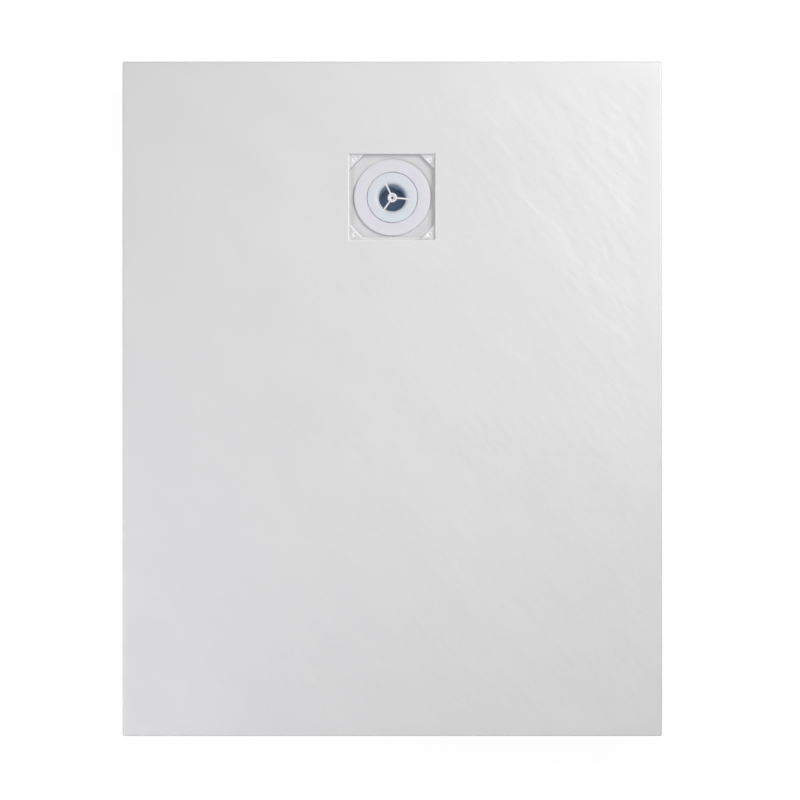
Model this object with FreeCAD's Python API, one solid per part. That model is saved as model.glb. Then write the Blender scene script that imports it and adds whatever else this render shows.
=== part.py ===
"""A low shower tray with its waste: a cast slab, a screwed flange, a lift-out insert and a trap.

Millimetres. The origin is the middle of the tray's underside, +Z is up, +Y points to the end where
the drain is, and +X to the right of someone who looks along +Y. The waste is modelled about its own
upright axis and the outlet about its own pipe axis, and both are then put in place.
"""

import FreeCAD
import Part
import math
import os

V = FreeCAD.Vector
UP = V(0, 0, 1)
ALONG_X = V(1, 0, 0)

# --- driving dimensions: the cast tray -----------------------------------------------------------
tray_width = 800.0
tray_length = 1000.0
edge_height = 30.0
rim_width = 6.0
surface_fall = 7.0
edge_round = 1.8
corner_round_drain_end = 2.2
corner_round_far_end = 3.0
drain_from_end = 200.0

recess_size = 127.0
recess_floor_height = 12.0
recess_corner_round = 2.0
recess_land = 4.0
lip_round = 1.5

pad_leg = 22.0
pad_height = 6.0
pad_edge_round = 0.6
pin_hole_diameter = 5.0
pin_hole_inset = 8.0
pin_hole_depth = 4.0

waste_hole_diameter = 90.0
relief_depth = 3.0

# --- driving dimensions: the flange and its seals ------------------------------------------------
flange_diameter = 114.0
flange_thickness = 2.8
flange_edge_round = 1.2
flange_bore_diameter = 76.0
bore_edge_round = 1.0
collar_land_diameter = 72.0
collar_land_length = 16.0
collar_relief = 2.0
collar_diameter = 84.0
collar_reach = 12.0
collar_thread_pitch = 4.0
collar_thread_depth = 1.1
key_slots = 4
key_slot_width = 8.0
key_slot_depth = 1.3
key_slot_height = 6.0

gasket_thickness = 1.5
gasket_setback = 2.0
seal_setback = 1.5

# --- driving dimensions: the lift-out insert -----------------------------------------------------
insert_diameter = 74.5
insert_wall = 2.4
insert_drop = 0.7
insert_dish = 0.4
throat_diameter = 40.0
bell_radius = 6.5
skirt_wall = 4.4
skirt_length = 17.0
skirt_chamfer = 0.8
seal_below_disc = 9.5
o_ring_section = 2.6
o_ring_groove_depth = 2.4
o_ring_side_gap = 0.3
tube_reach = 54.0
tube_socket_depth = 5.0
tube_socket_wall = 1.9

arm_count = 3
arm_width = 2.4
arm_height = 5.0
arm_reach = 26.0
arm_start_angle = -5.0
arm_drop = 0.3
hub_diameter = 14.0
hub_length = 11.0
hub_edge_round = 0.6
hub_counterbore_diameter = 8.5
hub_counterbore_depth = 4.0
hub_hole_diameter = 4.2

# --- driving dimensions: the trap ----------------------------------------------------------------
trap_flange_diameter = 116.0
trap_flange_thickness = 4.0
trap_wall = 3.0
neck_length = 9.0
bowl_diameter = 102.0
bowl_depth = 71.0
bowl_edge_round = 6.0
shoulder_drop = 4.0
weir_drop = 24.0
weir_width = 54.0
gusset_count = 8
gusset_thickness = 2.5
gusset_overhang = 1.5

# --- driving dimensions: the outlet --------------------------------------------------------------
outlet_drop = 37.0
outlet_port_diameter = 39.6
chamber_reach = 62.0
ball_diameter = 52.0
ball_back_reach = 17.0
ball_seat_reach = 17.5
ball_seal_bore_diameter = 41.0
ball_seal_front = 9.0
socket_wall = 2.5
socket_mouth = 9.0
socket_thread_length = 14.0
socket_thread_pitch = 3.0
socket_thread_depth = 1.2
spigot_diameter = 40.0
spigot_bore_diameter = 34.0
spigot_chamfer = 1.0
neck_diameter = 38.0
neck_reach = 26.0
spigot_length = 64.0
washer_bore_diameter = 48.0
washer_thickness = 1.5
nut_wall = 2.3
nut_skirt = 6.0
nut_lip_thickness = 3.0
nut_lip_bore_diameter = 46.8
nut_chamfer = 1.0
nut_ribs = 20
nut_rib_radius = 1.6
nut_rib_height = 1.2

# --- clearances ----------------------------------------------------------------------------------
free_gap = 0.3
thread_gap = 0.35
seal_gap = 0.1
push_fit_gap = 0.1
face_gap = 0.1
hole_gap = 1.0
relief_gap = 8.0
cut_past = 1.0
same_place = 1e-4

# --- derived places ------------------------------------------------------------------------------
drain_y = tray_length / 2 - drain_from_end
lip_height = edge_height - surface_fall
landing_size = recess_size + 2 * recess_land
pad_top = recess_floor_height + pad_height
relief_diameter = trap_flange_diameter + 2 * relief_gap

flange_bottom = recess_floor_height + gasket_thickness
flange_top = flange_bottom + flange_thickness
insert_top = flange_top - insert_drop
ledge_height = insert_top - insert_wall
disc_underside = insert_top - insert_dish - insert_wall
o_ring_height = ledge_height - seal_below_disc
skirt_radius = collar_land_diameter / 2 - free_gap
groove_radius = skirt_radius - o_ring_groove_depth
skirt_bottom = ledge_height - skirt_length
throat_radius = throat_diameter / 2
spigot_radius = throat_radius + insert_wall
hub_top = insert_top - insert_dish
arm_top = hub_top - arm_drop

trap_top = 0.0
thread_bottom = trap_top - trap_flange_thickness - neck_length
bowl_top = thread_bottom - shoulder_drop
bowl_bottom = trap_top - bowl_depth
bowl_floor = bowl_bottom + trap_wall
bowl_radius = bowl_diameter / 2
bowl_inner_radius = bowl_radius - trap_wall
flange_underside = trap_top - trap_flange_thickness
body_thread_radius = collar_diameter / 2 + thread_gap
neck_outer_radius = body_thread_radius + trap_wall
weir_crest = trap_top - weir_drop

ball_radius = ball_diameter / 2
ball_y = drain_y + chamber_reach + ball_seat_reach
mouth_reach = chamber_reach + ball_seat_reach + socket_mouth
socket_bore_radius = ball_radius + free_gap
socket_outer_radius = socket_bore_radius + socket_wall
socket_thread_radius = socket_outer_radius + socket_thread_depth
washer_back = math.sqrt(socket_bore_radius**2 - (washer_bore_diameter / 2) ** 2)
washer_front = washer_back + washer_thickness
nut_bore_radius = socket_thread_radius + thread_gap
nut_outer_radius = nut_bore_radius + nut_wall
lip_back = washer_front + face_gap
nut_front = lip_back + nut_lip_thickness
tail_end = neck_reach + spigot_length


# --- building blocks -----------------------------------------------------------------------------
def disc(radius, bottom, top):
    """A solid disc or rod about the upright axis."""
    return Part.makeCylinder(radius, top - bottom, V(0, 0, bottom))


def ring(inner_radius, outer_radius, bottom, top):
    """A ring about the upright axis."""
    hole = disc(inner_radius, bottom - cut_past, top + cut_past)
    return disc(outer_radius, bottom, top).cut(hole)


def turned(outline):
    """The solid that a closed outline of (radius, height) points makes when it is turned round."""
    points = [V(radius, 0, height) for radius, height in outline]
    face = Part.Face(Part.makePolygon(points + points[:1]))
    return face.revolve(V(0, 0, 0), UP, 360)


def block(size_x, size_y, bottom, top, centre_x=0.0, centre_y=0.0):
    """A box on a rectangle that is centred in plan."""
    corner = V(centre_x - size_x / 2, centre_y - size_y / 2, bottom)
    return Part.makeBox(size_x, size_y, top - bottom, corner)


def rectangle(size_x, size_y, height, centre_y=0.0):
    """A level rectangular wire."""
    half_x = size_x / 2
    half_y = size_y / 2
    signs = [(-1, -1), (1, -1), (1, 1), (-1, 1), (-1, -1)]
    return Part.makePolygon([V(sx * half_x, centre_y + sy * half_y, height) for sx, sy in signs])


def upright_edges(shape, reach=None):
    """The edges that stand upright, or those of them whose Y passes the test."""
    found = []
    for edge in shape.Edges:
        ends = [vertex.Point for vertex in edge.Vertexes]
        if len(ends) == 2 and (ends[0] - ends[1]).cross(UP).Length < same_place:
            if reach is None or reach(ends[0].y):
                found.append(edge)
    return found


def round_edges(shape, radius, height):
    """The full circles of one radius at one height about the upright axis."""
    found = []
    for edge in shape.Edges:
        curve = edge.Curve
        if isinstance(curve, Part.Circle) and abs(curve.Radius - radius) < same_place:
            if abs(curve.Center.z - height) < same_place:
                found.append(edge)
    return found


def level_edges(shape, height, inside):
    """The level edges at one height whose middle passes the test."""
    found = []
    for edge in shape.Edges:
        box = edge.BoundBox
        if max(abs(box.ZMin - height), abs(box.ZMax - height)) < same_place:
            if inside(edge.valueAt((edge.FirstParameter + edge.LastParameter) / 2)):
                found.append(edge)
    return found


def thread_outline(crest_radius, depth, pitch, start, end):
    """Points of a ring thread's side between two heights: flat crests and roots, sloping flanks."""
    turns = int(abs(end - start) / pitch)
    step = math.copysign(pitch / 4, end - start)
    root_radius = crest_radius - depth
    points = []
    for turn in range(turns):
        height = start + 4 * step * turn
        points.append((crest_radius, height))
        points.append((crest_radius, height + step))
        points.append((root_radius, height + 2 * step))
        points.append((root_radius, height + 3 * step))
    points.append((crest_radius, start + 4 * step * turns))
    return points


def at_drain(shape):
    """Moves a piece of the waste from the origin to the drain."""
    return shape.translated(V(0, drain_y, 0))


def at_outlet(shape):
    """Lays a piece of the outlet down, with its upright axis now along +Y, about the ball's centre."""
    laid = shape.rotated(V(0, 0, 0), ALONG_X, -90)
    return laid.translated(V(0, ball_y, -outlet_drop))


# --- the cast tray -------------------------------------------------------------------------------
def slab():
    """The blank: a plain block with its upright corners and its upper edges rounded."""
    blank = block(tray_width, tray_length, 0, edge_height)
    drain_corners = upright_edges(blank, lambda y: y > 0)
    blank = blank.makeFillet(corner_round_drain_end, drain_corners)
    far_corners = upright_edges(blank, lambda y: y < 0)
    blank = blank.makeFillet(corner_round_far_end, far_corners)
    upper = level_edges(blank, edge_height, lambda point: True)
    return blank.makeFillet(min(edge_round, corner_round_drain_end - free_gap), upper)


def falls():
    """What is cut away above the four falls to the landing round the recess."""
    top_width = tray_width - 2 * rim_width
    top_length = tray_length - 2 * rim_width
    high = rectangle(top_width, top_length, edge_height)
    low = rectangle(landing_size, landing_size, lip_height, drain_y)
    dish = Part.makeLoft([low, high], True, True)
    return dish.fuse(block(top_width, top_length, edge_height, edge_height + cut_past))


def pad_corner(sign_x, sign_y):
    """One triangular corner pad, cut as a prism that fills the corner of the recess."""
    corner_x = sign_x * recess_size / 2
    corner_y = drain_y + sign_y * recess_size / 2
    points = [
        V(corner_x, corner_y, recess_floor_height),
        V(corner_x - sign_x * pad_leg, corner_y, recess_floor_height),
        V(corner_x, corner_y - sign_y * pad_leg, recess_floor_height),
    ]
    return Part.Face(Part.makePolygon(points + points[:1])).extrude(V(0, 0, pad_height))


def pin_hole(sign_x, sign_y):
    """The hole in one pad that takes a pin of the cover plate."""
    inset = recess_size / 2 - pin_hole_inset
    foot = V(sign_x * inset, drain_y + sign_y * inset, pad_top - pin_hole_depth)
    return Part.makeCylinder(pin_hole_diameter / 2, pin_hole_depth + cut_past, foot)


def pocket():
    """The square recess, less its corner pads."""
    space = block(recess_size, recess_size, recess_floor_height, edge_height, 0, drain_y)
    space = space.makeFillet(recess_corner_round, upright_edges(space))
    for sign_x in (-1, 1):
        for sign_y in (-1, 1):
            space = space.cut(pad_corner(sign_x, sign_y))
    return space


def tray():
    """The casting: slab, falls, recess with four pads, waste hole and the relief under it."""
    shape = slab().cut(falls()).cut(pocket())
    on_recess_wall = recess_size / 2 + free_gap

    def beside_recess(point):
        return abs(point.x) < on_recess_wall and abs(point.y - drain_y) < on_recess_wall

    def on_pad_slope(point):
        across = abs(point.x) + abs(point.y - drain_y)
        return beside_recess(point) and abs(across - (recess_size - pad_leg)) < free_gap

    shape = shape.makeFillet(lip_round, level_edges(shape, lip_height, beside_recess))
    shape = shape.makeFillet(pad_edge_round, level_edges(shape, pad_top, on_pad_slope))
    for sign_x in (-1, 1):
        for sign_y in (-1, 1):
            shape = shape.cut(pin_hole(sign_x, sign_y))
    waste_hole = disc(waste_hole_diameter / 2, -cut_past, recess_floor_height + cut_past)
    relief = disc(relief_diameter / 2, -cut_past, relief_depth)
    return shape.cut(at_drain(waste_hole)).cut(at_drain(relief))


# --- the flange and its seals --------------------------------------------------------------------
def waste_flange():
    """The clamping ring: a thin disc, the insert's seat, and a threaded collar with key slots."""
    collar_bottom = trap_top - collar_reach
    land_bottom = ledge_height - collar_land_length
    land_radius = collar_land_diameter / 2
    thread_start = trap_top + collar_thread_pitch / 2
    outline = [(flange_bore_diameter / 2, flange_top), (flange_diameter / 2, flange_top)]
    outline += [(flange_diameter / 2, flange_bottom), (collar_diameter / 2, flange_bottom)]
    outline += thread_outline(
        collar_diameter / 2, collar_thread_depth, collar_thread_pitch, thread_start, collar_bottom
    )
    outline += [(collar_diameter / 2, collar_bottom), (land_radius + collar_relief, collar_bottom)]
    outline += [(land_radius + collar_relief, land_bottom - collar_relief)]
    outline += [(land_radius, land_bottom), (land_radius, ledge_height)]
    outline += [(flange_bore_diameter / 2, ledge_height)]
    shape = turned(outline)
    shape = shape.makeFillet(flange_edge_round, round_edges(shape, flange_diameter / 2, flange_top))
    shape = shape.makeFillet(bore_edge_round, round_edges(shape, flange_bore_diameter / 2, flange_top))
    slot_bottom = ledge_height - key_slot_height
    slot_size_x = 2 * key_slot_depth
    for number in range(key_slots):
        slot = block(slot_size_x, key_slot_width, slot_bottom, ledge_height, land_radius)
        shape = shape.cut(slot.rotated(V(0, 0, 0), UP, 360 / key_slots * number))
    return at_drain(shape)


def flange_gasket():
    """The flat ring between the flange and the floor of the recess."""
    inner = collar_diameter / 2 + free_gap
    outer = flange_diameter / 2 - gasket_setback
    return at_drain(ring(inner, outer, recess_floor_height, flange_bottom))


def underside_seal():
    """The thick ring that the trap is drawn up against, in the relief under the tray."""
    inner = collar_diameter / 2 + hole_gap
    outer = trap_flange_diameter / 2 - seal_setback
    return at_drain(ring(inner, outer, trap_top, relief_depth))


# --- the lift-out insert -------------------------------------------------------------------------
def insert_shell():
    """The disc with its bell mouth, the grooved skirt and the spigot that carries the dip tube."""
    groove_top = o_ring_height + o_ring_section / 2 + o_ring_side_gap
    groove_bottom = o_ring_height - o_ring_section / 2 - o_ring_side_gap
    outline = [(insert_diameter / 2, insert_top), (insert_diameter / 2, ledge_height)]
    outline += [(skirt_radius, ledge_height), (skirt_radius, groove_top)]
    outline += [(groove_radius, groove_top), (groove_radius, groove_bottom)]
    outline += [(skirt_radius, groove_bottom), (skirt_radius, skirt_bottom + skirt_chamfer)]
    outline += [(skirt_radius - skirt_chamfer, skirt_bottom)]
    outline += [(skirt_radius - skirt_wall, skirt_bottom)]
    outline += [(skirt_radius - skirt_wall, disc_underside), (spigot_radius, disc_underside)]
    outline += [(spigot_radius, skirt_bottom), (throat_radius, skirt_bottom), (throat_radius, hub_top)]
    shape = turned(outline)
    shape = shape.makeFillet(bell_radius, round_edges(shape, throat_radius, hub_top))
    underside_edge = round_edges(shape, spigot_radius, disc_underside)
    return shape.makeFillet(bell_radius - insert_wall, underside_edge)


def insert_arm(angle):
    """One thin arm from the hub into the bell mouth."""
    arm = block(arm_reach, arm_width, arm_top - arm_height, arm_top, arm_reach / 2)
    return arm.rotated(V(0, 0, 0), UP, angle)


def trap_insert():
    """The shell, its three arms and the drilled hub."""
    shape = insert_shell()
    for number in range(arm_count):
        shape = shape.fuse(insert_arm(arm_start_angle + 360 / arm_count * number))
    hub = disc(hub_diameter / 2, hub_top - hub_length, hub_top)
    hub = hub.makeFillet(hub_edge_round, round_edges(hub, hub_diameter / 2, hub_top))
    shape = shape.fuse(hub)
    shape = shape.cut(disc(hub_hole_diameter / 2, hub_top - hub_length - cut_past, hub_top + cut_past))
    counterbore_bottom = hub_top - hub_counterbore_depth
    shape = shape.cut(disc(hub_counterbore_diameter / 2, counterbore_bottom, hub_top + cut_past))
    return at_drain(shape.removeSplitter())


def insert_tube():
    """The dip tube, pushed over the insert's spigot. Its lower end stands in the trap's water."""
    socket_inner = spigot_radius + push_fit_gap
    socket_outer = socket_inner + tube_socket_wall
    outline = [(throat_radius, -tube_reach), (spigot_radius, -tube_reach)]
    outline += [(spigot_radius, skirt_bottom - insert_wall - tube_socket_wall)]
    outline += [(socket_outer, skirt_bottom - insert_wall)]
    outline += [(socket_outer, skirt_bottom + tube_socket_depth)]
    outline += [(socket_inner, skirt_bottom + tube_socket_depth), (socket_inner, skirt_bottom)]
    outline += [(throat_radius, skirt_bottom)]
    return at_drain(turned(outline))


def insert_o_ring():
    """The round ring in the groove of the insert's skirt."""
    section = o_ring_section / 2
    middle = collar_land_diameter / 2 - seal_gap - section
    return at_drain(Part.makeTorus(middle, section, V(0, 0, o_ring_height)))


# --- the trap ------------------------------------------------------------------------------------
def trap_shell():
    """The turned part of the trap: flange, threaded neck, shoulder and bowl, still closed all round."""
    thread_start = trap_top + collar_thread_pitch / 2
    thread = thread_outline(
        body_thread_radius, collar_thread_depth, collar_thread_pitch, thread_start, thread_bottom
    )
    outline = [(0, bowl_bottom), (bowl_radius, bowl_bottom), (bowl_radius, bowl_top)]
    outline += [(neck_outer_radius, thread_bottom), (neck_outer_radius, flange_underside)]
    outline += [(trap_flange_diameter / 2, flange_underside)]
    outline += [(trap_flange_diameter / 2, trap_top), (body_thread_radius, trap_top)]
    outline += [(radius, height) for radius, height in thread if height < trap_top]
    outline += [(body_thread_radius, thread_bottom), (bowl_inner_radius, bowl_top)]
    outline += [(bowl_inner_radius, bowl_floor), (0, bowl_floor)]
    shape = turned(outline)
    shape = shape.makeFillet(bowl_edge_round, round_edges(shape, bowl_radius, bowl_bottom))
    floor_edge = round_edges(shape, bowl_inner_radius, bowl_floor)
    return shape.makeFillet(bowl_edge_round - trap_wall, floor_edge)


def bowl_space():
    """The room inside the bowl and its shoulder, up to the thread."""
    outline = [(0, bowl_floor), (bowl_inner_radius, bowl_floor), (bowl_inner_radius, bowl_top)]
    outline += [(body_thread_radius, thread_bottom), (0, thread_bottom)]
    return turned(outline)


def gusset(angle):
    """One rib under the trap's flange."""
    reach = trap_flange_diameter / 2 - gusset_overhang
    inner = neck_outer_radius - trap_wall / 2
    upper = [V(inner, 0, flange_underside), V(reach, 0, flange_underside)]
    points = upper + [V(bowl_radius, 0, bowl_top), V(inner, 0, bowl_top)]
    face = Part.Face(Part.makePolygon(points + points[:1]))
    rib = face.extrude(V(0, gusset_thickness, 0)).translated(V(0, -gusset_thickness / 2, 0))
    return rib.rotated(V(0, 0, 0), UP, angle)


def along_outlet(radius, start, end):
    """A rod on the outlet's axis, between two distances from the drain's axis."""
    return Part.makeCylinder(radius, end - start, V(0, start, -outlet_drop), V(0, 1, 0))


def chamber_block(bottom, top):
    """A block as wide and as long as the outlet chamber with its walls."""
    return block(weir_width + 2 * trap_wall, chamber_reach, bottom, top, 0, chamber_reach / 2)


def socket_thread():
    """The ring thread outside the socket, for the union nut."""
    side = thread_outline(
        socket_thread_radius,
        socket_thread_depth,
        socket_thread_pitch,
        socket_mouth,
        socket_mouth - socket_thread_length,
    )
    core = socket_outer_radius - socket_wall / 2
    outline = side + [(core, side[-1][1]), (core, side[0][1])]
    laid = turned(outline).rotated(V(0, 0, 0), ALONG_X, -90)
    return laid.translated(V(0, mouth_reach - socket_mouth, -outlet_drop))


def outlet_passage():
    """The way from the weir down into the outlet port."""
    reach = chamber_reach - trap_wall
    passage = block(weir_width, reach, -outlet_drop, bowl_top, 0, reach / 2)
    return passage.fuse(along_outlet(outlet_port_diameter / 2, 0, chamber_reach + cut_past))


def chamber_roof():
    """The flat roof of the outlet chamber, level with the shoulder."""
    return chamber_block(bowl_top, bowl_top + trap_wall)


def trap_neck():
    """The upper moulding: flange, ribs, threaded neck, shoulder and the roof of the outlet chamber."""
    shape = trap_shell().cut(disc(bowl_radius + cut_past, bowl_bottom - cut_past, bowl_top))
    for number in range(gusset_count):
        shape = shape.fuse(gusset(360 / gusset_count * (number + 0.5)))
    return at_drain(shape.fuse(chamber_roof().cut(bowl_space())).removeSplitter())


def trap_bowl():
    """The cup below the neck, with the weir cut into its rim."""
    above = disc(trap_flange_diameter, bowl_top, trap_top + cut_past)
    weir = block(weir_width, chamber_reach, weir_crest, bowl_top + cut_past, 0, chamber_reach / 2)
    return at_drain(trap_shell().cut(above).cut(weir).removeSplitter())


def outlet_chamber():
    """The chamber behind the weir, against the side of the cup, with the port in its end wall."""
    sump = along_outlet(socket_outer_radius, bowl_inner_radius, chamber_reach)
    sump = sump.cut(chamber_block(bowl_top, trap_top))
    cup = disc(bowl_radius, bowl_bottom - cut_past, bowl_top)
    shape = chamber_block(-outlet_drop, bowl_top).fuse(sump)
    return at_drain(shape.cut(outlet_passage()).cut(cup).removeSplitter())


def outlet_socket():
    """The ball's socket on the chamber's end wall, with a ring thread outside its mouth."""
    pipe = along_outlet(socket_outer_radius, chamber_reach, mouth_reach).fuse(socket_thread())
    bore = along_outlet(socket_bore_radius, chamber_reach - cut_past, mouth_reach + cut_past)
    return at_drain(pipe.cut(bore).removeSplitter())


# --- the outlet ----------------------------------------------------------------------------------
def ball_seal():
    """The rubber ring behind the ball, hollowed to the ball's own curve."""
    outer = socket_bore_radius - free_gap
    blank = ring(ball_seal_bore_diameter / 2, outer, -ball_seat_reach, -ball_seal_front)
    return at_outlet(blank.cut(Part.makeSphere(ball_radius + free_gap)))


def outlet_tail():
    """The ball, its neck and the plain spigot that the waste pipe takes."""
    shape = Part.makeSphere(ball_radius)
    shape = shape.cut(disc(ball_radius, -ball_diameter, -ball_back_reach))
    shape = shape.fuse(disc(neck_diameter / 2, 0, neck_reach))
    spigot = disc(spigot_diameter / 2, neck_reach, tail_end)
    spigot = spigot.makeChamfer(spigot_chamfer, round_edges(spigot, spigot_diameter / 2, tail_end))
    shape = shape.fuse(spigot)
    shape = shape.cut(disc(spigot_bore_diameter / 2, -ball_diameter, tail_end + cut_past))
    return at_outlet(shape.removeSplitter())


def slip_washer():
    """The thin ring between the ball and the lip of the nut."""
    outer = nut_bore_radius - thread_gap
    return at_outlet(ring(washer_bore_diameter / 2, outer, washer_back, washer_front))


def union_nut():
    """The ribbed nut, with a plain bore over the socket's thread and a lip in front of the washer."""
    outline = [(nut_bore_radius, -nut_skirt), (nut_outer_radius, -nut_skirt)]
    outline += [(nut_outer_radius, nut_front - nut_chamfer)]
    outline += [(nut_outer_radius - nut_chamfer, nut_front)]
    outline += [(nut_lip_bore_diameter / 2, nut_front), (nut_lip_bore_diameter / 2, lip_back)]
    outline += [(nut_bore_radius, lip_back)]
    shape = turned(outline)
    rib_centre = V(nut_outer_radius + nut_rib_height - nut_rib_radius, 0, -nut_skirt)
    rib = Part.makeCylinder(nut_rib_radius, nut_front - 2 * nut_chamfer + nut_skirt, rib_centre)
    for number in range(nut_ribs):
        shape = shape.fuse(rib.rotated(V(0, 0, 0), UP, 360 / nut_ribs * number))
    bore = disc(nut_bore_radius, -nut_skirt - cut_past, lip_back)
    return at_outlet(shape.cut(bore).removeSplitter())


PIECES = [
    tray,
    waste_flange,
    flange_gasket,
    underside_seal,
    trap_insert,
    insert_tube,
    insert_o_ring,
    trap_neck,
    trap_bowl,
    outlet_chamber,
    outlet_socket,
    ball_seal,
    outlet_tail,
    slip_washer,
    union_nut,
]

os.makedirs("parts", exist_ok=True)
for piece in PIECES:
    solid = piece()
    print(piece.__name__, solid.isValid(), len(solid.Solids), round(solid.Volume), "mm3")
    solid.exportStep(f"parts/{piece.__name__}.step")
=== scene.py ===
"""A white slate-effect shower tray with its waste, dressed round the fixed frame.

Metres, with +Y towards the end where the drain is.
"""
import math

import bmesh
import bpy
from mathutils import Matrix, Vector


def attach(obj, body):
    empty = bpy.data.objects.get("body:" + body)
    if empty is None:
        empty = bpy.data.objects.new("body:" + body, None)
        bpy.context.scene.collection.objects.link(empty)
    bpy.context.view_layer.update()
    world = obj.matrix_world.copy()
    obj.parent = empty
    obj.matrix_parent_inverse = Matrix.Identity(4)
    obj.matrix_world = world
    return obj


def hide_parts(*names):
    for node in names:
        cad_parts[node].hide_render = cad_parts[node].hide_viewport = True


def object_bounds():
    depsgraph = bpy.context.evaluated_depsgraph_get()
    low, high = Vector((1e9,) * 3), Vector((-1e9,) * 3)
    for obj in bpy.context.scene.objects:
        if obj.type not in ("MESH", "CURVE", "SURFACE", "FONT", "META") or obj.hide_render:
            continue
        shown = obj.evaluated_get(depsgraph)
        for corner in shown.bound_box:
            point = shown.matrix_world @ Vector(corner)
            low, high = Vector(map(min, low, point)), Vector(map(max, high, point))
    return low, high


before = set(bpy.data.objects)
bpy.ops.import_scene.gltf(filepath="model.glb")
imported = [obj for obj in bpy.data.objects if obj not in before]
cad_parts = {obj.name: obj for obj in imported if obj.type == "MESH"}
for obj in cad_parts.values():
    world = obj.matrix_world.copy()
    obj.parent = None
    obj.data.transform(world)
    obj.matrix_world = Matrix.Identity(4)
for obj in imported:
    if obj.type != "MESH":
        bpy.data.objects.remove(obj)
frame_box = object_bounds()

# --- sizes of the casting and the waste, in metres; the outlines further down are in millimetres ---
MM = 0.001
TRAY_WIDTH = 0.8
TRAY_LENGTH = 1.0
EDGE_HEIGHT = 0.030
FALL = 0.007
LIP_HEIGHT = EDGE_HEIGHT - FALL
RIM = 0.006
DRAIN_Y = 0.3
DRAIN_END_CORNER_ROUND = 0.0022
FAR_END_CORNER_ROUND = 0.003
TOP_EDGE_ROUND = 0.0018
UNDERSIDE_EDGE_ROUND = 0.0006

CELL = 0.003125  # one square of the top's grid
CUT_HALF = 20 * CELL  # half the square that is taken out of the grid for the recess
RECESS_HALF = 0.0635
RECESS_FLOOR = 0.012
RECESS_CORNER_ROUND = 0.002
FLOOR_ROUND = 0.0012
LIP_ROUND = 0.0020
PAD_TOP = 0.018
PAD_LEG = 7 * CELL * RECESS_HALF / CUT_HALF
PAD_REACH = 2 * RECESS_HALF - PAD_LEG
PAD_EDGE_ROUND = 0.0006

PIN_INSET = 0.0555
PIN_FOOT = 0.014
PIN_HOLE_RADIUS = 0.0024
PIN_CONE_TOP = PAD_TOP - 0.0018
WASTE_HOLE_RADIUS = 0.045
RELIEF_RADIUS = 0.066
RELIEF_DEPTH = 0.003

SLATE_RUN = -48  # degrees in plan along which the slate runs
FLOOR_GAP = 0.0002


# --- ways of working ------------------------------------------------------------------------------
def take(piece):
    """Makes one piece the active and only selected one."""
    bpy.ops.object.select_all(action="DESELECT")
    piece.select_set(True)
    bpy.context.view_layer.objects.active = piece


def named(name):
    """Names the piece that was just added, and its mesh."""
    piece = bpy.context.object
    piece.name = name
    piece.data.name = name
    return piece


def open_up(piece):
    take(piece)
    bpy.ops.object.mode_set(mode="EDIT")


def close_up():
    bpy.ops.object.mode_set(mode="OBJECT")


def pick(kind, test):
    """In edit mode, selects the vertices, edges or faces that pass the test."""
    bpy.ops.mesh.select_mode(type=kind)
    bpy.ops.mesh.select_all(action="DESELECT")
    shape = bmesh.from_edit_mesh(bpy.context.object.data)
    for part in {"VERT": shape.verts, "EDGE": shape.edges, "FACE": shape.faces}[kind]:
        if test(part):
            part.select_set(True)
    shape.select_flush_mode()
    bmesh.update_edit_mesh(bpy.context.object.data)


def middle(part):
    """The middle of an edge or face."""
    if isinstance(part, bmesh.types.BMFace):
        return part.calc_center_median()
    return (part.verts[0].co + part.verts[1].co) / 2


def near(value, target, within=2e-5):
    return abs(value - target) < within


def level(edge, height):
    return near(edge.verts[0].co.z, height) and near(edge.verts[1].co.z, height)


def upright(edge, least):
    return abs(edge.verts[0].co.z - edge.verts[1].co.z) > least


def beside_wall(edge):
    return any(abs(face.normal.z) < 0.3 for face in edge.link_faces)


def ease(radius, segments):
    """Rounds the picked edges."""
    bpy.ops.mesh.bevel(offset=radius, segments=segments, affect="EDGES", clamp_overlap=False)


def turn_out():
    """Merges what lies together and points every face outwards."""
    bpy.ops.mesh.select_all(action="SELECT")
    bpy.ops.mesh.remove_doubles(threshold=1e-6)
    bpy.ops.mesh.normals_make_consistent(inside=False)


def apply_modifiers(piece):
    take(piece)
    for modifier in list(piece.modifiers):
        bpy.ops.object.modifier_apply(modifier=modifier.name)


def smooth(piece, degrees=35):
    take(piece)
    bpy.ops.object.shade_smooth_by_angle(angle=math.radians(degrees))


def weigh(piece, group, weight):
    """Gives each vertex a weight in a group, by its place."""
    made = piece.vertex_groups.new(name=group)
    for vertex in piece.data.vertices:
        value = weight(vertex.co)
        if value > 0:
            made.add([vertex.index], value, "REPLACE")


def combine(piece, other, operation):
    """Cuts the other shape out of the piece, or grows them together, and removes the other."""
    take(piece)
    modifier = piece.modifiers.new("combine", "BOOLEAN")
    modifier.operation = operation
    modifier.solver = "MANIFOLD"
    modifier.object = other
    bpy.ops.object.modifier_apply(modifier=modifier.name)
    bpy.data.objects.remove(other)


def rod(radius, bottom, top, x=0.0, y=DRAIN_Y, sides=96):
    """A plain cutter between two heights."""
    bpy.ops.object.select_all(action="DESELECT")
    bpy.ops.mesh.primitive_cylinder_add(
        vertices=sides, radius=radius, depth=top - bottom, location=(x, y, (bottom + top) / 2)
    )
    return bpy.context.object


def block(size, centre, angle=0.0):
    """A plain box about a centre, turned in plan."""
    bpy.ops.object.select_all(action="DESELECT")
    bpy.ops.mesh.primitive_cube_add(size=1, location=centre, rotation=(0, 0, angle), scale=size)
    bpy.ops.object.transform_apply(location=True, rotation=True, scale=True)
    return bpy.context.object


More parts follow.
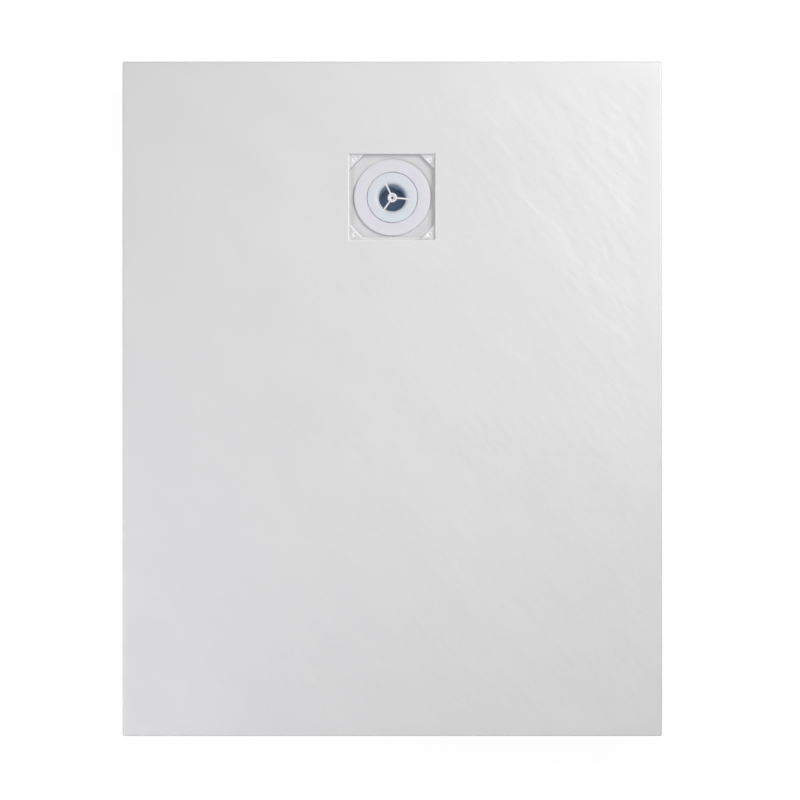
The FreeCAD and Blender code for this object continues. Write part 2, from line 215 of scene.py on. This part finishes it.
def turn(name, outline, rounds=(), sides=160):
    """Draws an outline of (radius, height) point by point in millimetres, rounds some of its corners
    and spins it about the drain's axis. Each round is (corner, reach, segments)."""
    points = [Vector((radius * MM, DRAIN_Y, height * MM)) for radius, height in outline]
    bpy.ops.object.select_all(action="DESELECT")
    bpy.ops.mesh.primitive_plane_add(size=MM, location=points[0])
    piece = named(name)
    bpy.ops.object.transform_apply(location=True, rotation=True, scale=True)
    open_up(piece)
    bpy.ops.mesh.merge(type="CENTER")
    bpy.ops.mesh.select_mode(type="VERT")
    bpy.ops.mesh.select_all(action="SELECT")
    for start, end in zip(points, points[1:]):
        bpy.ops.mesh.extrude_vertices_move(TRANSFORM_OT_translate={"value": end - start})
    pick("VERT", lambda vertex: any((vertex.co - end).length < 1e-6 for end in (points[0], points[-1])))
    bpy.ops.mesh.edge_face_add()
    for corner, reach, segments in rounds:
        place = points[corner]
        pick("VERT", lambda vertex: (vertex.co - place).length < 1e-6)
        bpy.ops.mesh.bevel(offset=reach * MM, segments=segments, affect="VERTICES", clamp_overlap=False)
    bpy.ops.mesh.select_all(action="SELECT")
    bpy.ops.mesh.spin(steps=sides, angle=2 * math.pi, center=(0, DRAIN_Y, 0), axis=(0, 0, 1))
    turn_out()
    close_up()
    return piece


# --- the casting ----------------------------------------------------------------------------------
def from_recess(place):
    """How far outside the cut for the recess a place lies, in plan."""
    return max(abs(place.x), abs(place.y - DRAIN_Y)) - CUT_HALF


def from_wall(place):
    """How far outside the finished recess a place lies, in plan."""
    return max(abs(place.x), abs(place.y - DRAIN_Y)) - RECESS_HALF


def from_edge(place):
    """How far inside the tray's outline a place lies, in plan."""
    return min(TRAY_WIDTH / 2 - abs(place.x), TRAY_LENGTH / 2 - abs(place.y))


def ramp(value, start, end):
    """A soft step from 0 to 1."""
    share = min(max((value - start) / (end - start), 0), 1)
    return share * share * (3 - 2 * share)


def lay_run(angle, length, width, x=0.0, y=0.0):
    """A guide for a texture: its X runs with the slate, and its scale is the size of the marks."""
    bpy.ops.object.select_all(action="DESELECT")
    bpy.ops.object.empty_add(location=(x, y, 0), rotation=(0, 0, math.radians(angle)))
    guide = bpy.context.object
    guide.scale = (length, width, width)
    return guide


def press_in(piece, name, depth, guide, detail, top, steps=()):
    """Presses cloudy marks into the surface, in plateaus where steps are given, and applies them."""
    marks = bpy.data.textures.new(name, "CLOUDS")
    marks.noise_basis = "ORIGINAL_PERLIN"
    marks.noise_scale = 0.5
    marks.noise_depth = detail
    if steps:
        marks.use_color_ramp = True
        ladder = marks.color_ramp
        ladder.interpolation = "EASE"
        ladder.elements[0].color = (0, 0, 0, 1)
        for place, value in steps:
            rung = ladder.elements.new(place)
            rung.color = (value, value, value, 1)
    modifier = piece.modifiers.new(name, "DISPLACE")
    modifier.texture = marks
    modifier.texture_coords = "OBJECT"
    modifier.texture_coords_object = guide
    modifier.direction = "Z"
    modifier.mid_level = top
    modifier.strength = depth
    modifier.vertex_group = "slate"
    apply_modifiers(piece)
    bpy.data.objects.remove(guide)


def slate_weight(place):
    """The slate is deepest in the right half and fades out at the recess and the rim."""
    inside = ramp(from_recess(place), 0.003, 0.03) * ramp(from_edge(place), 0.004, 0.05)
    return inside * (0.55 + 0.45 * ramp(place.x, -0.25, 0.15))


def cast_top():
    """The walked-on surface: a fine grid with the four falls run together and the slate pressed in."""
    bpy.ops.object.select_all(action="DESELECT")
    bpy.ops.mesh.primitive_grid_add(
        x_subdivisions=round(TRAY_WIDTH / CELL),
        y_subdivisions=round(TRAY_LENGTH / CELL),
        size=1,
        location=(0, 0, EDGE_HEIGHT),
    )
    piece = named("tray_casting")
    piece.scale = (TRAY_WIDTH, TRAY_LENGTH, 1)
    bpy.ops.object.transform_apply(location=True, rotation=True, scale=True)
    open_up(piece)
    pick("FACE", lambda face: from_recess(middle(face)) < 0)
    bpy.ops.mesh.delete(type="FACE")
    close_up()
    weigh(piece, "falls", lambda place: float(from_edge(place) > RIM and from_recess(place) > 1e-4))
    weigh(
        piece,
        "soft",
        lambda place: min(ramp(from_edge(place), 0, 0.03), ramp(from_recess(place), 0.003, 0.02)),
    )
    weigh(piece, "slate", slate_weight)
    fit = piece.modifiers.new("falls", "SHRINKWRAP")
    fit.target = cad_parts["tray"]
    fit.wrap_method = "PROJECT"
    fit.use_project_z = True
    fit.use_negative_direction = True
    fit.use_positive_direction = False
    fit.vertex_group = "falls"
    apply_modifiers(piece)
    open_up(piece)
    pick("VERT", lambda vertex: from_recess(vertex.co) < 1e-4)
    bpy.ops.transform.translate(value=(0, 0, -FALL))
    grow = RECESS_HALF / CUT_HALF
    bpy.ops.transform.resize(value=(grow, grow, 1), center_override=(0, DRAIN_Y, 0))
    close_up()
    soften = piece.modifiers.new("soft", "SMOOTH")
    soften.factor = 0.5
    soften.iterations = 300
    soften.use_x = False
    soften.use_y = False
    soften.vertex_group = "soft"
    apply_modifiers(piece)
    # a broad swell, the wavy ledges of the layers, and the grain that runs with them
    press_in(piece, "swell", 0.0012, lay_run(SLATE_RUN, 0.42, 0.20), 1, 0.75)
    ledges = [(0.36, 0.10), (0.385, 0.34), (0.46, 0.42), (0.485, 0.66), (0.56, 0.74), (0.59, 0.94)]
    press_in(piece, "ledges", 0.0015, lay_run(SLATE_RUN + 2, 0.62, 0.30, 0.05, 0.02), 2, 0.8, ledges)
    ridges = [(0.47, 0.0), (0.60, 0.7)]
    press_in(piece, "grain", 0.00035, lay_run(SLATE_RUN - 3, 0.075, 0.020), 4, 0.9, ridges)
    return piece


def cast_recess(piece):
    """The recess for the cover plate: walls, corner pads, floor, and the rounds between them."""
    open_up(piece)
    pick("EDGE", lambda edge: edge.is_boundary and near(from_wall(middle(edge)), 0))
    bpy.ops.mesh.extrude_edges_move(TRANSFORM_OT_translate={"value": (0, 0, PAD_TOP - LIP_HEIGHT)})
    bpy.ops.mesh.edge_face_add()
    for side in (-1, 1):
        for end in (-1, 1):
            pick("FACE", lambda face: near(middle(face).z, PAD_TOP) and from_wall(middle(face)) < 0)
            bpy.ops.mesh.bisect(
                plane_co=(side * PAD_REACH, DRAIN_Y, PAD_TOP), plane_no=(side, end, 0), threshold=1e-5
            )
    drain = Vector((0, DRAIN_Y))
    pick("FACE", lambda face: near(middle(face).z, PAD_TOP) and (middle(face).xy - drain).length < 0.01)
    bpy.ops.mesh.extrude_region_move(TRANSFORM_OT_translate={"value": (0, 0, RECESS_FLOOR - PAD_TOP)})

    def at_corner(edge):
        place = middle(edge)
        return near(abs(place.x), RECESS_HALF) and near(abs(place.y - DRAIN_Y), RECESS_HALF)

    def on_pad_edge(edge):
        place = middle(edge)
        return near(abs(place.x) + abs(place.y - DRAIN_Y), PAD_REACH, 1e-4)

    def at_lip(edge):
        return level(edge, LIP_HEIGHT) and beside_wall(edge) and from_wall(middle(edge)) < 1e-4

    pick("EDGE", lambda edge: upright(edge, 0.004) and at_corner(edge))
    ease(RECESS_CORNER_ROUND, 4)
    pick("EDGE", lambda edge: level(edge, RECESS_FLOOR) and beside_wall(edge))
    ease(FLOOR_ROUND, 3)
    pick("EDGE", at_lip)
    ease(LIP_ROUND, 5)
    pick("EDGE", lambda edge: level(edge, PAD_TOP) and on_pad_edge(edge))
    ease(PAD_EDGE_ROUND, 3)
    close_up()


def cast_sides(piece):
    """The upright sides and the flat underside."""
    open_up(piece)
    pick("EDGE", lambda edge: edge.is_boundary and from_edge(middle(edge)) < 1e-5)
    bpy.ops.mesh.extrude_edges_move(TRANSFORM_OT_translate={"value": (0, 0, 0)})
    bpy.ops.transform.resize(value=(1, 1, 0), center_override=(0, 0, 0))
    bpy.ops.mesh.edge_face_add()
    for end, radius in ((1, DRAIN_END_CORNER_ROUND), (-1, FAR_END_CORNER_ROUND)):
        pick(
            "EDGE",
            lambda edge: upright(edge, 0.02)
            and near(abs(middle(edge).x), TRAY_WIDTH / 2)
            and near(middle(edge).y, end * TRAY_LENGTH / 2),
        )
        ease(radius, 5)

    def on_outline(edge, low, high):
        flat = any(abs(face.normal.z) > 0.7 for face in edge.link_faces)
        place = middle(edge)
        return flat and beside_wall(edge) and low < place.z < high and from_edge(place) < 0.0035

    pick("EDGE", lambda edge: on_outline(edge, 0.027, 0.031))
    ease(TOP_EDGE_ROUND, 4)
    pick("EDGE", lambda edge: on_outline(edge, -0.001, 0.001))
    ease(UNDERSIDE_EDGE_ROUND, 2)
    turn_out()
    close_up()


def drill(piece):
    """The relief under the tray, the waste hole and the four pin holes with their eased mouths."""
    mouth_to_foot = {"value": (0, 0, PIN_FOOT - PIN_CONE_TOP)}
    combine(piece, rod(RELIEF_RADIUS, -0.002, RELIEF_DEPTH, sides=128), "DIFFERENCE")
    combine(piece, rod(WASTE_HOLE_RADIUS, -0.002, RECESS_FLOOR + 0.002, sides=128), "DIFFERENCE")
    for side in (-1, 1):
        for end in (-1, 1):
            centre = (side * PIN_INSET, DRAIN_Y + end * PIN_INSET, PAD_TOP)
            pin = rod(PIN_HOLE_RADIUS, PIN_CONE_TOP, PAD_TOP - 0.0005, *centre[:2], sides=32)
            open_up(pin)
            pick("FACE", lambda face: face.normal.z > 0.9)
            bpy.ops.mesh.extrude_region_move(TRANSFORM_OT_translate={"value": (0, 0, 0.0010)})
            bpy.ops.transform.resize(value=(1.6, 1.6, 1), center_override=centre)
            pick("FACE", lambda face: face.normal.z < -0.9)
            bpy.ops.mesh.extrude_region_move(TRANSFORM_OT_translate=mouth_to_foot)
            bpy.ops.transform.resize(value=(0.3, 0.3, 1), center_override=centre)
            close_up()
            combine(piece, pin, "DIFFERENCE")


# --- the white waste: clamping ring and lift-out insert --------------------------------------------
def ring_thread(crest, root, start, pitch, turns):
    """Points down a ring thread's side, in millimetres."""
    points = []
    for number in range(turns):
        top = start - pitch * number
        points += [(crest, top), (crest, top - pitch / 4)]
        points += [(root, top - pitch / 2), (root, top - 0.75 * pitch)]
    return points + [(crest, start - pitch * turns)]


def clamping_ring():
    """The smooth ring on the recess floor, with the insert's seat and the threaded collar below."""
    outline = [(38, 16.3), (57, 16.3), (57, 13.5), (42, 13.5)]
    outline += ring_thread(42, 40.9, 2, 4, 3)
    outline += [(42, -12), (38, -12), (38, -4.8), (36, -2.8), (36, 13.2), (38, 13.2)]
    piece = turn("clamping_ring", outline, [(0, 1.0, 4), (1, 1.2, 5), (2, 0.3, 2), (-2, 0.4, 2)])
    for number in range(4):
        angle = number * math.pi / 2
        centre = (0.036 * math.cos(angle), DRAIN_Y + 0.036 * math.sin(angle), 0.0105)
        combine(piece, block((0.0026, 0.008, 0.0066), centre, angle), "DIFFERENCE")
    return piece


def insert_arm():
    """The first of the spider's arms: a thin blade with a rounded back, from the hub into the bell."""
    angle = math.radians(-5)
    reach = 0.0155
    centre = (reach * math.cos(angle), DRAIN_Y + reach * math.sin(angle), 0.0124)
    arm = block((0.021, 0.0024, 0.005), centre, angle)
    open_up(arm)
    pick("EDGE", lambda edge: level(edge, 0.0149) and edge.calc_length() > 0.01)
    ease(0.0011, 4)
    close_up()
    return arm


def lift_out_insert():
    """The dished disc with its bell mouth and grooved skirt."""
    outline = [(37.25, 15.6), (37.25, 13.2), (35.7, 13.2), (35.7, 5.3), (33.3, 5.3), (33.3, 2.1)]
    outline += [(35.7, 2.1), (35.7, -3.0), (34.9, -3.8), (31.3, -3.8), (31.3, 12.8), (22.4, 12.8)]
    outline += [(22.4, -3.8), (20, -3.8), (20, 15.2)]
    return turn("lift_out_insert", outline, [(0, 0.6, 3), (-4, 4.1, 6), (-1, 6.5, 12)])


def spider():
    """The drilled hub on its three arms, whose ends are rooted in the bell mouth."""
    outline = [(7, 15.2), (7, 4.2), (2.1, 4.2), (2.1, 11.2), (4.25, 11.2), (4.25, 15.2)]
    piece = turn("spider", outline, [(0, 1.2, 4), (1, 0.5, 2), (3, 0.3, 2), (5, 1.0, 4)], sides=64)
    arm = insert_arm()
    for number in (1, 2):
        take(arm)
        bpy.ops.object.duplicate()
        copy = bpy.context.object
        bpy.ops.transform.rotate(
            value=number * math.radians(120), orient_axis="Z", center_override=(0, DRAIN_Y, 0)
        )
        bpy.ops.object.transform_apply(location=True, rotation=True, scale=True)
        combine(piece, copy, "UNION")
    combine(piece, arm, "UNION")
    return piece


# --- the moulded trap and outlet ------------------------------------------------------------------
def eased_copy(node, name, radius, degrees=38):
    """A copy of a part in the frame, welded, with its sharp edges eased as a moulding's are."""
    piece = bpy.data.objects.new(name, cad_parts[node].data.copy())
    piece.data.name = name
    piece.data.materials.clear()
    bpy.context.scene.collection.objects.link(piece)
    open_up(piece)
    bpy.ops.mesh.select_all(action="SELECT")
    bpy.ops.mesh.remove_doubles(threshold=2e-6)
    bpy.ops.mesh.dissolve_limited(angle_limit=math.radians(0.5))
    close_up()
    edge = piece.modifiers.new("eased", "BEVEL")
    edge.width = radius
    edge.segments = 2
    edge.limit_method = "ANGLE"
    edge.angle_limit = math.radians(degrees)
    edge.use_clamp_overlap = True
    apply_modifiers(piece)
    smooth(piece, degrees)
    return piece


# --- finishes -------------------------------------------------------------------------------------
def new_finish(name, colour, rough):
    material = bpy.data.materials.new(name)
    material.use_nodes = True
    shader = material.node_tree.nodes["Principled BSDF"]
    shader.inputs["Base Color"].default_value = (*colour, 1)
    shader.inputs["Roughness"].default_value = rough
    return material


def node(material, kind, feeds=None, **facts):
    """Adds a node, sets its facts, and feeds its inputs from values or from other nodes' outputs."""
    made = material.node_tree.nodes.new(kind)
    for fact, value in facts.items():
        setattr(made, fact, value)
    for socket, value in (feeds or {}).items():
        if isinstance(value, bpy.types.NodeSocket):
            material.node_tree.links.new(value, made.inputs[socket])
        else:
            made.inputs[socket].default_value = value
    return made


def wire(material, output, socket):
    material.node_tree.links.new(output, material.node_tree.nodes["Principled BSDF"].inputs[socket])


def marks(material, size, detail=2.0, angle=0.0, centre=(0, 0, 0), rough=0.5):
    """Cloudy marks of one size in metres along X, Y and Z, turned in plan; about 0.5 on average."""
    place = node(material, "ShaderNodeTexCoord").outputs["Object"]
    laid = node(
        material,
        "ShaderNodeMapping",
        {"Vector": place, "Location": centre, "Rotation": (0, 0, math.radians(angle)), "Scale": size},
        vector_type="TEXTURE",
    )
    cloud = node(
        material,
        "ShaderNodeTexNoise",
        {"Vector": laid.outputs[0], "Scale": 1.0, "Detail": detail, "Roughness": rough},
    )
    return cloud.outputs["Fac"]


def span(material, value, low, high, to_low=0.0, to_high=1.0, smoothly=False):
    """Stretches a value's range onto another."""
    made = node(
        material,
        "ShaderNodeMapRange",
        {"Value": value, "From Min": low, "From Max": high, "To Min": to_low, "To Max": to_high},
        interpolation_type="SMOOTHSTEP" if smoothly else "LINEAR",
    )
    return made.outputs["Result"]


def maths(material, first, second, operation="ADD"):
    return node(material, "ShaderNodeMath", {0: first, 1: second}, operation=operation).outputs[0]


def blend(material, share, first, second):
    """A colour between two, which are colours or outputs."""
    first = first if isinstance(first, bpy.types.NodeSocket) else (*first, 1)
    second = second if isinstance(second, bpy.types.NodeSocket) else (*second, 1)
    made = node(material, "ShaderNodeMix", {"Factor": share}, data_type="RGBA")
    for socket, value in ((6, first), (7, second)):
        if isinstance(value, bpy.types.NodeSocket):
            material.node_tree.links.new(value, made.inputs[socket])
        else:
            made.inputs[socket].default_value = value
    return made.outputs[2]


def emboss(material, layers):
    """Raises height layers of (output, metres) out of the surface, one on the other."""
    under = None
    for height, depth in layers:
        feeds = {"Height": height, "Distance": depth, "Strength": 1.0}
        if under is not None:
            feeds["Normal"] = under
        under = node(material, "ShaderNodeBump", feeds).outputs["Normal"]
    wire(material, under, "Normal")


def gelcoat():
    """The tray's satin mineral gelcoat with its slate marks, over the raw casting below."""
    finish = new_finish("slate_gelcoat", (0.725, 0.722, 0.717), 0.34)
    cloud = marks(finish, (0.16, 0.07, 0.1), 3, SLATE_RUN)
    coat = blend(finish, span(finish, cloud, 0.3, 0.7), (0.716, 0.712, 0.708), (0.736, 0.733, 0.726))
    place = node(finish, "ShaderNodeTexCoord").outputs["Object"]
    axes = node(finish, "ShaderNodeSeparateXYZ", {0: place})
    ragged = marks(finish, (0.006, 0.006, 0.006), 3)
    height = maths(finish, axes.outputs["Z"], maths(finish, ragged, 0.002, "MULTIPLY"))
    raw = span(finish, height, 0.0016, 0.0024, 1.0, 0.0, True)
    crumbs = node(finish, "ShaderNodeTexVoronoi", {"Vector": place, "Scale": 420.0, "Randomness": 1.0})
    stone = blend(finish, crumbs.outputs["Distance"], (0.50, 0.48, 0.44), (0.36, 0.345, 0.315))
    # painted highlight: the lip of the recess, but for its drain end, the mouths of the pin holes, the
    # edges of the two pads away from the drain end and the foot of the wall between them are painted
    # lighter where light catches them
    off_x = maths(finish, axes.outputs["X"], 0, "ABSOLUTE")
    off_y = maths(finish, axes.outputs["Y"], DRAIN_Y, "SUBTRACT")
    far_y = maths(finish, off_y, 0, "ABSOLUTE")
    from_lip = maths(finish, maths(finish, off_x, far_y, "MAXIMUM"), RECESS_HALF + 0.0008, "SUBTRACT")
    lip = span(finish, maths(finish, from_lip, 0, "ABSOLUTE"), 0.0007, 0.0015, 1, 0, True)
    lip = maths(finish, lip, span(finish, height, 0.018, 0.021), "MULTIPLY")
    lip = maths(finish, lip, span(finish, off_y, 0.0620, 0.0632, 1, 0), "MULTIPLY")
    pin_x = maths(finish, off_x, PIN_INSET, "SUBTRACT")
    pin_y = maths(finish, far_y, PIN_INSET, "SUBTRACT")
    from_pin = maths(finish, maths(finish, pin_x, 2, "POWER"), maths(finish, pin_y, 2, "POWER"))
    mouth = span(finish, maths(finish, from_pin, 0.5, "POWER"), 0.0034, 0.0040, 1, 0)
    # painted shade: the inside of the recess is painted darker than the tray, its floor more than the
    # pad tops
    inside = span(finish, from_lip, -0.0016, -0.0008, 1, 0)
    raised = span(finish, axes.outputs["Z"], 0.0135, 0.0165)
    recess_painted_shade = blend(finish, raised, (0.625, 0.630, 0.632), (0.668, 0.667, 0.667))
    coat = blend(finish, inside, coat, recess_painted_shade)
    from_pad = maths(finish, maths(finish, off_x, far_y), PAD_REACH, "SUBTRACT")
    brow = span(finish, maths(finish, from_pad, 0, "ABSOLUTE"), 0.0014, 0.0024, 1, 0, True)
    brow = maths(finish, brow, span(finish, off_y, -0.02, 0, 1, 0), "MULTIPLY")
    foot = span(finish, off_y, -0.0602, -0.0588, 1, 0)
    foot = maths(finish, foot, span(finish, raised, 0, 0.5, 1, 0), "MULTIPLY")
    ledge = maths(finish, maths(finish, brow, foot, "MAXIMUM"), inside, "MULTIPLY")
    painted_highlight = maths(finish, maths(finish, lip, mouth, "MAXIMUM"), ledge, "MAXIMUM")
    # the painted highlights, in a lighter white
    coat = blend(finish, painted_highlight, coat, (0.86, 0.86, 0.855))
    wire(finish, blend(finish, raw, coat, stone), "Base Color")
    sheen = span(finish, marks(finish, (0.05, 0.02, 0.03), 2, SLATE_RUN), 0.3, 0.7, 0.30, 0.38)
    # the painted highlights are also a little glossier
    highlight_gloss = maths(finish, painted_highlight, 0.1, "MULTIPLY")
    dull = maths(finish, maths(finish, raw, 0.4, "MULTIPLY"), highlight_gloss, "SUBTRACT")
    wire(finish, maths(finish, sheen, dull), "Roughness")
    # patches of short nicks along the run, a little loose grain among them, and the coat's orange peel
    right = span(finish, axes.outputs["X"], -0.3, 0.25, 0.3, 1.0, True)
    cloud = marks(finish, (0.11, 0.07, 0.1), 2, SLATE_RUN - 4, (0.3, 0.1, 0))
    patch = span(finish, cloud, 0.46, 0.62, 0, 1, True)
    patch = maths(finish, patch, right, "MULTIPLY")
    nick = span(finish, marks(finish, (0.017, 0.0032, 0.01), 1, SLATE_RUN + 4), 0.62, 0.76, 0, 1, True)
    cloud = marks(finish, (0.011, 0.0042, 0.01), 1, SLATE_RUN - 9, (0.1, 0.4, 0))
    chip = span(finish, cloud, 0.64, 0.78, 0, 1, True)
    nicks = maths(finish, maths(finish, nick, chip, "SUBTRACT"), patch, "MULTIPLY")
    cloud = marks(finish, (0.030, 0.007, 0.02), 3, SLATE_RUN + 5, (0, 0, 0), 0.65)
    grain = maths(finish, cloud, patch, "MULTIPLY")
    peel = marks(finish, (0.0035, 0.0035, 0.0035), 2)
    emboss(finish, [(grain, 0.00008), (nicks, 0.00011), (peel, 0.00003)])
    return finish


def moulded(name, dark, light, rough, grain):
    """A moulded plastic or rubber: faint flow clouds, uneven sheen and a fine surface texture."""
    finish = new_finish(name, light, rough)
    flow = span(finish, marks(finish, (0.02, 0.02, 0.035), 3), 0.3, 0.7)
    wire(finish, blend(finish, flow, dark, light), "Base Color")
    sheen = span(finish, marks(finish, (0.006, 0.006, 0.006), 2), 0.3, 0.7, rough - 0.05, rough + 0.06)
    wire(finish, sheen, "Roughness")
    emboss(finish, [(marks(finish, (0.0009, 0.0009, 0.0009), 2), grain)])
    return finish


# --- making ---------------------------------------------------------------------------------------
tray = cast_top()
cast_recess(tray)
cast_sides(tray)
drill(tray)
smooth(tray)
ring = clamping_ring()
smooth(ring)
insert = lift_out_insert()
smooth(insert)
hub_and_arms = spider()
smooth(hub_and_arms)

white_gelcoat = gelcoat()
flange_white = moulded("flange_white", (0.690, 0.680, 0.722), (0.712, 0.702, 0.742), 0.34, 0.00002)
insert_white = moulded("insert_white", (0.650, 0.690, 0.735), (0.672, 0.712, 0.757), 0.32, 0.00002)
# the spider is one moulding with the disc; its lighter white is painted highlight on the arms and hub
spider_white_painted_highlight = moulded("spider_white_painted_highlight", (0.84, 0.85, 0.87), (0.87, 0.88, 0.90), 0.26, 0.00001)
trap_blue = moulded("trap_blue_grey", (0.50, 0.64, 0.87), (0.55, 0.69, 0.92), 0.42, 0.00004)
# the tube is paler than the trap's blue-grey so that the shaded throat reads lighter: painted light
tube_blue = moulded("tube_pale_blue", (0.70, 0.82, 0.95), (0.74, 0.86, 0.98), 0.22, 0.00001)
nut_white = moulded("nut_white", (0.77, 0.77, 0.76), (0.82, 0.82, 0.81), 0.42, 0.00004)
washer_clear = moulded("washer_natural", (0.72, 0.75, 0.77), (0.77, 0.80, 0.82), 0.5, 0.00003)
seal_black = moulded("seal_black", (0.024, 0.024, 0.026), (0.036, 0.036, 0.038), 0.6, 0.00006)

DRESSED = [
    (tray, "tray", "tray_casting", "root", white_gelcoat),
    (ring, "waste_flange", "flange_plastic", "root", flange_white),
    (insert, "trap_insert", "insert_plastic", "insert", insert_white),
    (hub_and_arms, "trap_insert", "insert_plastic", "insert", spider_white_painted_highlight),
]
MOULDINGS = [
    ("trap_neck", "threaded_neck", 0.0005, "trap_plastic", "root", trap_blue),
    ("trap_bowl", "water_cup", 0.0005, "trap_plastic", "root", trap_blue),
    ("outlet_chamber", "weir_chamber", 0.0006, "trap_plastic", "root", trap_blue),
    ("outlet_socket", "ball_socket", 0.0003, "trap_plastic", "root", trap_blue),
    ("outlet_tail", "ball_and_spigot", 0.0004, "trap_plastic", "outlet", trap_blue),
    ("union_nut", "ribbed_nut", 0.0004, "nut_plastic", "nut", nut_white),
]
for replaced, name, eased, slot, body, finish in MOULDINGS:
    DRESSED.append((eased_copy(replaced, name, eased), replaced, slot, body, finish))
for piece, replaced, slot, body, finish in DRESSED:
    piece.data.materials.clear()
    piece.data.materials.append(finish)
    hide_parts(replaced)
    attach(piece, body)

CARRIED = {
    "insert_tube": tube_blue,
    "slip_washer": washer_clear,
    "flange_gasket": seal_black,
    "underside_seal": seal_black,
    "insert_o_ring": seal_black,
    "ball_seal": seal_black,
}
for name, finish in CARRIED.items():
    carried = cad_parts[name]
    for slot in carried.material_slots:
        slot.material = finish
    if not carried.material_slots:
        carried.data.materials.append(finish)


# --- floor, lamps and camera ----------------------------------------------------------------------
def seen_white(material, own, white):
    """Shows the white shader to the camera, in gloss and through clear parts, and its own elsewhere."""
    path = node(material, "ShaderNodeLightPath").outputs
    seen = maths(material, path["Is Camera Ray"], path["Is Glossy Ray"], "MAXIMUM")
    seen = maths(material, seen, path["Is Transmission Ray"], "MAXIMUM")
    return node(material, "ShaderNodeMixShader", {0: seen, 1: own, 2: white}).outputs[0]


bpy.ops.object.select_all(action="DESELECT")
bpy.ops.mesh.primitive_plane_add(size=12, location=(0, 0, frame_box[0][2] - FLOOR_GAP))
floor = named("floor")
paper = bpy.data.materials.new("white_paper")
paper.use_nodes = True
paper.node_tree.nodes.clear()
matte = node(paper, "ShaderNodeBsdfDiffuse", {"Color": (0.75, 0.75, 0.75, 1)}).outputs[0]
faint = node(paper, "ShaderNodeBsdfDiffuse", {"Color": (0.11, 0.11, 0.11, 1)}).outputs[0]
from_tray = node(paper, "ShaderNodeTexCoord").outputs["Object"]
from_tray = node(paper, "ShaderNodeVectorMath", {0: from_tray}, operation="LENGTH").outputs["Value"]
brightness = span(paper, from_tray, 1.2, 3.5, 0.93, 1.0)
glow = node(paper, "ShaderNodeEmission", {"Strength": brightness}).outputs[0]
lit = node(paper, "ShaderNodeAddShader", {0: faint, 1: glow}).outputs[0]
node(paper, "ShaderNodeOutputMaterial", {0: seen_white(paper, matte, lit)})
floor.data.materials.append(paper)

studio = bpy.data.worlds.new("studio")
bpy.context.scene.world = studio
studio.use_nodes = True
studio.node_tree.nodes.clear()
sky = node(studio, "ShaderNodeBackground", {"Color": (0.98, 0.98, 1.0, 1), "Strength": 0.19}).outputs[0]
backdrop = node(studio, "ShaderNodeBackground", {"Color": (1, 1, 1, 1), "Strength": 1.0}).outputs[0]
camera_ray = node(studio, "ShaderNodeLightPath").outputs["Is Camera Ray"]
shown = node(studio, "ShaderNodeMixShader", {0: camera_ray, 1: sky, 2: backdrop}).outputs[0]
node(studio, "ShaderNodeOutputWorld", {0: shown})


def lamp(name, place, aim, size, energy, colour):
    """A soft square lamp that the camera doesn't see."""
    data = bpy.data.lights.new(name, "AREA")
    data.size = size
    data.energy = energy
    data.color = colour
    made = bpy.data.objects.new(name, data)
    bpy.context.scene.collection.objects.link(made)
    made.location = place
    made.rotation_euler = (Vector(aim) - Vector(place)).to_track_quat("-Z", "Y").to_euler()
    made.visible_camera = False


lamp("key", (1.21, 0.88, 1.70), (0.47, 0.60, 0), 1.1, 30.8, (1.0, 0.998, 0.985))
lamp("overhead", (0.1, 0.1, 2.95), (0.1, 0.1, 0), 1.6, 8.8, (0.99, 0.99, 1.0))
lamp("fill", (-1.28, -0.74, 1.76), (-0.2, 0.1, 0), 0.9, 21.0, (0.96, 0.94, 1.0))

# the camera looks straight down on the tray from nearly three metres
camera_data = bpy.data.cameras.new("camera")
camera_data.lens = 83.5
camera = bpy.data.objects.new("camera", camera_data)
bpy.context.scene.collection.objects.link(camera)
camera.location = (0.0114, -0.0018, 2.78)
bpy.context.scene.camera = camera
bpy.context.scene.view_settings.view_transform = "Standard"
